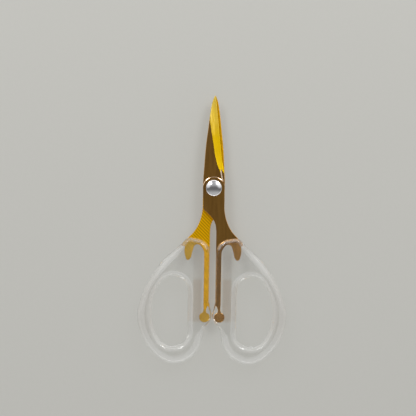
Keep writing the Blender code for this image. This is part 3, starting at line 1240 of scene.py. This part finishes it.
@dataclass
class Handle:
    """One clear moulded handle: ring, web and stop nose, in millimetres about the pivot.

    Attributes:
        flat_start: Where the flat face starts, as a share of the fillet's width.
        flat_between: Flat that is left where the moulding is thin.
        bow_starts: The rim belongs to the bow right of this x or below this y.
        collar_ends: The rim belongs to the collar above this y, outside the bow.
        land: Half the height of the upright land in the middle of the rim.
    """

    half_thickness: float = 3.6
    inner_face: float = 1.42
    nose_face: float = 0.15
    opening_inner: float = 11.5
    outer_fillet: float = 3.0
    collar_fillet: float = 1.6
    slot_fillet: float = 0.9
    nose_fillet: float = 0.4
    opening_fillet: float = 2.2
    flat_start: float = 1.12
    flat_between: float = 0.5
    bow_starts: Point = (11.0, -63.0)
    collar_ends: float = -29.0
    land: float = 0.35
    parting_ridge: float = 0.05
    parting_width: float = 0.12
    fillet_steps: int = 14
    arc_steps: int = 12

    def outline(self) -> Array:
        """Outside of the handle, from the collar's inner corner clockwise to the stop nose.

        Returns:
            Its points, one row each.
        """
        collar = [
            (self.inner_face, -31.5, CORNER), (2.2, -27.6, SMOOTH), (4.4, -25.2, SMOOTH),
            (8.0, -24.0, SMOOTH), (11.8, -23.8, SMOOTH),
        ]
        bow = [
            (14.9, -26.6, SMOOTH), (23.9, -35.2, SMOOTH), (29.8, -43.9, SMOOTH),
            (34.2, -54.0, SMOOTH), (35.2, -60.5, SMOOTH), (33.6, -69.0, SMOOTH),
            (28.5, -77.5, SMOOTH), (22.7, -82.0, SMOOTH), (17.5, -83.34, SMOOTH),
            (10.6, -81.1, SMOOTH), (6.3, -76.6, SMOOTH), (4.4, -71.0, SMOOTH),
        ]
        stop_nose = [
            (3.5, -66.6, SMOOTH), (1.5, -63.7, SMOOTH), (self.nose_face, -60.8, SMOOTH),
            (0.8, -57.0, SMOOTH), (self.inner_face, -53.5, CORNER),
        ]
        return traced(collar + bow + stop_nose, self.arc_steps)

    def opening(self) -> Array:
        """The D-shaped finger opening, straight on the side of the centre line.

        Returns:
            Its points, one row each, clockwise.
        """
        bow = [
            (12.6, -44.9, SMOOTH), (17.4, -42.0, SMOOTH), (22.4, -43.2, SMOOTH),
            (25.8, -47.3, SMOOTH), (28.2, -54.2, SMOOTH), (28.4, -61.0, SMOOTH),
            (25.8, -69.8, SMOOTH), (22.3, -74.0, SMOOTH), (18.2, -75.05, SMOOTH),
            (13.4, -73.2, SMOOTH),
        ]
        straight = [(self.opening_inner, y, SMOOTH) for y in (-69.5, -64.0, -54.0, -49.5)]
        return traced(bow + straight, self.arc_steps)

    def edge_profile(self) -> tuple[Array, Array, Array]:
        """The moulding's edge from its back face round to its front face.

        A quarter ellipse rises from the land to each flat face, and a fine parting ridge stands
        out in the middle of the land.

        Returns:
            For each point, its inset as a share of the fillet's width, a further inset in
            millimetres that leaves the ridge standing, and its height in millimetres.
        """
        turns = np.linspace(0.0, math.pi / 2, self.fillet_steps + 1)
        rise = self.land + (self.half_thickness - self.land) * np.sin(turns)
        inset = np.append(1.0 - np.cos(turns), self.flat_start)
        rise = np.append(rise, self.half_thickness)
        ridge = np.array([-2.2, -1.0, 1.0, 2.2]) * self.parting_width / 2
        shares = np.concatenate([inset[::-1], np.zeros(len(ridge)), inset])
        heights = np.concatenate([-rise[::-1], ridge, rise])
        back = np.where(np.abs(heights) > self.parting_width / 2 + 1e-6, self.parting_ridge, 0.0)
        return shares, back, heights

    def swept_edge(self, path: Array, width: Array) -> Array:
        """The edge profile carried round a closed path.

        Ring k is the path moved into the material by the profile's inset times the fillet's width
        at each point, at the profile's height.

        Args:
            path: The outline, with the material on its right.
            width: The fillet's width at each point.

        Returns:
            Points as a grid of rings, back face first.
        """
        shares, back, heights = self.edge_profile()
        moved = shares[:, None] * width[None] + back[:, None]
        flat = path[None] + moved[..., None] * side_normals(path)[None]
        tall = np.broadcast_to(heights[:, None, None], flat.shape[:2] + (1,))
        return np.concatenate([flat, tall], axis=2)

    def fillet_widths(self, outline: Array, opening: Array) -> tuple[Array, Array]:
        """Width of the fillet at each point of the outline and of the opening.

        Each of the collar, the slot, the nose and the bow has its own width, with eased changes
        between them. Where the moulding is thin, both fillets share what the flat leaves.

        Args:
            outline: Points of the outside.
            opening: Points of the finger opening.

        Returns:
            The widths along the outside and along the opening.
        """
        x, y = outline.T
        at_nose = smoothstep((-53.5 - y) / 7.0)
        beside_slot = smoothstep((-27.0 - y) / 5.0) * (1.0 - at_nose) * (x < 6.0)
        on_bow = np.maximum(smoothstep((x - 12.5) / 8.0), smoothstep((-64.0 - y) / 8.0))
        base = self.collar_fillet + (self.nose_fillet - self.collar_fillet) * at_nose
        width = base + (self.slot_fillet - self.collar_fillet) * beside_slot
        width = width + (self.outer_fillet - base) * on_bow * (1.0 - beside_slot)
        share = self.outer_fillet / (self.outer_fillet + self.opening_fillet) / self.flat_start
        room = distance_to(outline, opening) - self.flat_between
        outer_width = np.minimum(width, room * share)
        room = distance_to(opening, outline) - self.flat_between
        opening_width = np.minimum(self.opening_fillet, room * (1.0 / self.flat_start - share))
        return outer_width, opening_width

    def rim_finish(self, path: Array) -> Array:
        """Choose the rim's finish by place.

        Args:
            path: Points of the outline or of the opening.

        Returns:
            A material number for each point.
        """
        on_bow = (path[:, 0] > self.bow_starts[0]) | (path[:, 1] < self.bow_starts[1])
        above = path[:, 1] > self.collar_ends
        elsewhere = np.where(above, HandleFinish.COLLAR_RIM, HandleFinish.SLOT_RIM)
        return np.where(on_bow, HandleFinish.BOW_RIM, elsewhere)

    def mesh(self, name: str, half: Half) -> bpy.types.Mesh:
        """The handle's closed mesh: both swept rims, and flat faces between their last rings.

        Args:
            name: The mesh's name.
            half: The half that it belongs to.

        Returns:
            The mesh in its place.
        """
        outline, opening = self.outline(), self.opening()[::-1]
        outer_width, opening_width = self.fillet_widths(outline, opening)
        outside = self.swept_edge(outline, outer_width)
        inside = self.swept_edge(opening, opening_width)
        parts = MeshParts()
        for grid, path in ((outside, outline), (inside, opening)):
            rings, count = grid.shape[:2]
            parts.add(grid.reshape(-1, 3), ring_faces(rings, count),
                      np.tile(self.rim_finish(path), rings - 1))
        for ring, faces_up in ((-1, True), (0, False)):
            loops = [[Vector((x, y, 0.0)) for x, y, _ in grid[ring].tolist()]
                     for grid in (outside, inside)]
            triangles = np.array(tessellate_polygon(loops), int)
            points = np.concatenate([outside[ring], inside[ring]])
            a, b, c = (points[triangles[:, i], :2] for i in range(3))
            turn = (b - a)[:, 0] * (c - a)[:, 1] - (b - a)[:, 1] * (c - a)[:, 0]
            kept = (turn > 0) == faces_up
            parts.add(points, np.where(kept[:, None], triangles, triangles[:, ::-1]),
                      HandleFinish.FLAT)
        return placed(parts.to_mesh(name, 40.0), half)


# ---------------------------------------------------------------------------------------------
# Rivet
# ---------------------------------------------------------------------------------------------


def turned_mesh(name: str, profile: list[Point], steps: int, sharp_from: float) -> bpy.types.Mesh:
    """Turn a profile about the pivot's axis.

    Point k of the profile makes the ring (r cos a, r sin a, z); the two ends lie on the axis and
    close the piece as poles.

    Args:
        name: The mesh's name.
        profile: (radius, height) from the top pole down the outer side to the bottom pole.
        steps: Points in each ring.
        sharp_from: Angle in degrees from which an edge is sharp.

    Returns:
        The mesh in metres about the pivot.
    """
    radius, height = np.array(profile, float).T
    flat = radius[1:-1, None, None] * circle(steps)[None]
    tall = np.broadcast_to(height[1:-1, None, None], flat.shape[:2] + (1,))
    rings = np.concatenate([flat, tall], axis=2)
    parts = MeshParts()
    parts.add(rings.reshape(-1, 3), ring_faces(len(rings), steps))
    step = np.arange(steps)
    fan = np.column_stack([step, (step + 1) % steps, np.full(steps, steps)])
    for end, order in ((0, [0, 1, 2]), (-1, [1, 0, 2])):
        parts.add(np.concatenate([rings[end], [[0.0, 0.0, height[end]]]]), fan[:, order])
    return parts.to_mesh(name, sharp_from)


@dataclass
class Rivet:
    """The pivot: a domed head with its shank, and the cap that closes it at the back.

    Attributes:
        blade_top: Height of the blade's outer face above the plane between the blades.
        seat_gap: Gap between the outer face and the head or the cap.
        rim_roll: Size of the roll round the head's rim.
        edge_break: Size of the small chamfers.
        shank_relief: How far the shank stays clear of the cap's bore, and its end chamfer.
    """

    blade_top: float = 1.55
    seat_gap: float = 0.03
    shank_radius: float = 1.9
    shank_relief: float = 0.1
    head_radius: float = 3.72
    head_height: float = 1.40
    head_rim: float = 0.22
    rim_roll: float = 0.12
    edge_break: float = 0.06
    cap_radius: float = 3.3
    cap_height: float = 1.1
    bore_depth: float = 0.6
    bore_play: float = 0.03
    steps: int = 128
    sharp_from: float = 38.0

    def dome(self, radius: float, height: float, count: int = 18) -> Array:
        """Profile of a spherical cap: a ball of radius (r r + h h) / (2 h), cut at the rim.

        Args:
            radius: Radius of the rim.
            height: Height of the crown above the rim.
            count: Number of points.

        Returns:
            (radius, height above the rim) from the crown to the rim.
        """
        ball = (radius ** 2 + height ** 2) / (2 * height)
        turns = np.linspace(0.0, math.asin(radius / ball), count)
        return np.column_stack([ball * np.sin(turns), ball * np.cos(turns) - ball + height])

    def head_mesh(self) -> bpy.types.Mesh:
        """Domed head with a fine rolled rim, and the shank through both blades.

        Returns:
            The mesh in metres about the pivot.
        """
        seat = self.blade_top + self.seat_gap
        rim = seat + self.head_rim
        end = -seat - self.bore_depth + self.shank_relief
        crown = self.dome(self.head_radius - self.rim_roll * 0.4, self.head_height - self.head_rim)
        profile = (crown + [0.0, rim]).tolist() + [
            (self.head_radius, rim - self.rim_roll * 0.6),
            (self.head_radius, seat + self.edge_break), (self.head_radius - self.edge_break, seat),
            (self.shank_radius, seat), (self.shank_radius, end + self.shank_relief),
            (self.shank_radius - self.shank_relief, end), (0.0, end),
        ]
        return turned_mesh("rivet_head", profile, self.steps, self.sharp_from)

    def cap_mesh(self) -> bpy.types.Mesh:
        """Low domed cap, bored for the shank.

        Returns:
            The mesh in metres about the pivot.
        """
        seat = -self.blade_top - self.seat_gap
        bore, bottom = self.shank_radius + self.bore_play, seat - self.bore_depth
        crown = self.dome(self.cap_radius, self.cap_height - self.head_rim)[::-1]
        profile = [
            (0.0, bottom), (bore, bottom), (bore, seat), (self.cap_radius - self.edge_break, seat),
            (self.cap_radius, seat - self.edge_break),
            *((radius, seat - self.head_rim - height) for radius, height in crown.tolist()),
        ]
        return turned_mesh("rivet_cap", profile, self.steps, self.sharp_from)


# ---------------------------------------------------------------------------------------------
# Studio
# ---------------------------------------------------------------------------------------------


@dataclass
class Studio:
    """Plain pale floor, two soft boxes, a soft surround and the camera.

    Attributes:
        frame_width: Width of the view in the plane of the snips, in metres.
        aim: Point under the camera.
        roll: Turn of the camera about its own axis, in radians.
        lamp_tilt: Angle of each lamp from straight above, in degrees.
        lamp_azimuth: Angle of each lamp from the long axis, in degrees.
        floor_glow: Light that the floor gives off itself.
        base_light: Light of the surround straight above.
        near_light: Light added towards the handles.
        far_light: Light added towards the tips.
        side_light: Light added high on both sides.
        low_light: Light added low down, and its growth towards the ends.
        near_zone: Y of a direction where the near light starts, and where it is full.
        far_zone: The same for the far light.
        low_zone: Z of a direction where the low light starts, and where it is full.
        side_way: Direction of the side light, with |X| for X.
        side_zone: How far along that direction the side light starts and is full.
    """

    frame_width: float = 0.197
    distance: float = 0.75
    aim: Point = (-0.00264, 0.01033)
    roll: float = 0.0165
    sensor: float = 36.0
    floor_gap: float = 0.0003
    floor_size: float = 1.6
    floor_colour: Colour = (0.27, 0.268, 0.252, 1.0)
    floor_grain: float = 0.03
    floor_glow: Colour = (0.260, 0.258, 0.241, 1.0)
    lamp_distance: float = 0.62
    lamp_size: Point = (0.20, 0.25)
    lamp_power: float = 1.35
    lamp_tilt: float = 56.0
    lamp_azimuth: float = 36.0
    base_light: float = 0.16
    near_light: float = 0.40
    far_light: float = 0.30
    side_light: float = 0.75
    low_light: Point = (0.45, 2.2)
    near_zone: Point = (-0.15, -0.75)
    far_zone: Point = (0.12, 0.45)
    low_zone: Point = (0.34, 0.18)
    side_way: tuple[float, float, float] = (0.75, 0.35, 0.56)
    side_zone: Point = (0.90, 0.985)

    def camera(self) -> None:
        """The camera, straight above, with its up along the snips."""
        data = bpy.data.cameras.new("camera")
        camera = bpy.data.objects.new("camera", data)
        bpy.context.scene.collection.objects.link(camera)
        data.sensor_width = self.sensor
        data.lens = self.sensor * self.distance / self.frame_width
        data.clip_start, data.clip_end = 0.05, 5.0
        camera.location = (*self.aim, float(PIVOT[2]) + self.distance)
        camera.rotation_euler = (0.0, 0.0, self.roll)
        bpy.context.scene.camera = camera

    def floor(self) -> None:
        """The pale floor, just under the snips, with a fine grain."""
        mesh = bpy.data.meshes.new("floor")
        corners = np.array([(-1, -1), (1, -1), (1, 1), (-1, 1)]) * self.floor_size / 2
        low = float(CAD_BOX[0].z) - self.floor_gap
        mesh.from_pydata([(x, y, low) for x, y in corners.tolist()], [], [(0, 1, 2, 3)])
        floor = bpy.data.objects.new("floor", mesh)
        bpy.context.scene.collection.objects.link(floor)
        material, w, shader = start_material("pale_card")
        colour = np.array(self.floor_colour)
        grain = np.array([self.floor_grain] * 3 + [0.0])
        w.feed(shader, {
            "Base Color": w.mixed(w.noise(w.place(), 900.0, 4.0), tuple(colour * (1.0 - grain)),
                                  tuple(colour * (1.0 + grain))),
            "Roughness": 0.7,
            "Specular IOR Level": 0.2,
            "Emission Color": self.floor_glow,
            "Emission Strength": 1.0,
        })
        mesh.materials.append(material)

    def lamps(self) -> None:
        """Two soft boxes above the tips, one to each side, turned to the pivot."""
        tilt, azimuth = math.radians(self.lamp_tilt), math.radians(self.lamp_azimuth)
        for side in (-1.0, 1.0):
            data = bpy.data.lights.new("soft_box", "AREA")
            data.shape = "ELLIPSE"
            data.size, data.size_y = self.lamp_size
            data.energy = self.lamp_power
            lamp = bpy.data.objects.new("soft_box", data)
            bpy.context.scene.collection.objects.link(lamp)
            out = Vector((side * math.sin(tilt) * math.sin(azimuth),
                          math.sin(tilt) * math.cos(azimuth), math.cos(tilt)))
            lamp.location = Vector(PIVOT) + out * self.lamp_distance
            lamp.rotation_euler = (tilt, 0.0, math.pi - side * azimuth)

    def surround(self) -> None:
        """A soft surround: dim straight above, brighter towards both ends and low down."""
        world = bpy.data.worlds.new("surround")
        bpy.context.scene.world = world
        world.use_nodes = True
        w = Wiring(world.node_tree)
        way = w.add("SeparateXYZ", {0: w.add("TexCoord").outputs["Generated"]}).outputs
        near, far = w.eased(way["Y"], *self.near_zone), w.eased(way["Y"], *self.far_zone)
        level = w.math("MULTIPLY_ADD", near, self.near_light, self.base_light)
        level = w.math("MULTIPLY_ADD", far, self.far_light, level)
        along = w.math("MULTIPLY", way["Y"], way["Y"])
        ends = w.math("MULTIPLY_ADD", along, self.low_light[1], self.low_light[0])
        level = w.math("MULTIPLY_ADD", w.eased(way["Z"], *self.low_zone), ends, level)
        toward = w.math("MULTIPLY", w.math("ABSOLUTE", way["X"]), self.side_way[0])
        toward = w.math("MULTIPLY_ADD", way["Y"], self.side_way[1], toward)
        toward = w.math("MULTIPLY_ADD", way["Z"], self.side_way[2], toward)
        level = w.math("MULTIPLY_ADD", w.eased(toward, *self.side_zone), self.side_light, level)
        shade = w.add("CombineColor", {0: level, 1: level, 2: level}).outputs[0]
        w.feed(world.node_tree.nodes["Background"], {"Color": shade})

    def build(self) -> None:
        """Set up the whole studio."""
        self.camera()
        self.floor()
        self.lamps()
        self.surround()
        bpy.context.scene.view_settings.view_transform = "Standard"


# ---------------------------------------------------------------------------------------------
# The snips
# ---------------------------------------------------------------------------------------------


@dataclass
class Snips:
    """The whole pair of snips."""

    blade: Blade = field(default_factory=Blade)
    handle: Handle = field(default_factory=Handle)
    rivet: Rivet = field(default_factory=Rivet)
    effects: Effects = field(default_factory=Effects)

    def build(self) -> None:
        """Build every piece and dress it."""
        self.build_blades()
        self.build_handles()
        self.build_rivet()

    def build_blades(self) -> None:
        """Both blades, each from the same shape."""
        facet = GroundGold("gold_ground_facet", angle=math.pi / 2 - 0.0967, gleam_share=0.02,
                           tip_gleam=0.9)
        inner = GroundGold("gold_ground_face", angle=math.pi / 4, beat_share=0.8,
                           colour=(0.92, 0.54, 0.005, 1.0), shade=(0.60, 0.32, 0.003, 1.0),
                           rotation=0.4, anisotropic=0.3, roughness=0.6)
        finishes = [finish.make(self.effects) for finish in (PolishedGold(), facet, inner)]
        for half, name, node in ((Half.FRONT, "front_blade_steel", "front_blade"),
                                 (Half.REAR, "rear_blade_steel", "rear_blade")):
            add_piece(name, self.blade.mesh(name, half), finishes, half, node)

    def build_handles(self) -> None:
        """Both handles, each from the same moulding."""
        slot_rim = ClearPlastic("plastic_glossy")
        flat = ClearPlastic("plastic_flat", roughness=0.03)
        bow_rim = ClearPlastic("plastic_cloudy", transmission=0.88)
        collar_rim = ClearPlastic("plastic_collar", transmission=0.86)
        finishes = [finish.make(self.effects) for finish in (slot_rim, flat, bow_rim, collar_rim)]
        for half, name, node in ((Half.FRONT, "right_handle_moulding", "right_handle"),
                                 (Half.REAR, "left_handle_moulding", "left_handle")):
            add_piece(name, self.handle.mesh(name, half), finishes, half, node)

    def build_rivet(self) -> None:
        """The rivet's head with its shank, and its cap.

        Both ride on the rear half but are described as they lie, so they are not turned over.
        """
        steel = BrightSteel().make(self.effects)
        for mesh, name, node in ((self.rivet.head_mesh(), "rivet_head", "pivot_rivet"),
                                 (self.rivet.cap_mesh(), "rivet_back_cap", "rivet_cap")):
            add_piece(name, placed(mesh, Half.FRONT), [steel], Half.REAR, node)


def main() -> None:
    """Build the snips and the studio."""
    logging.basicConfig(level=logging.INFO, format="%(name)s: %(message)s")
    Snips().build()
    Studio().build()


if __name__ == "__main__":
    main()
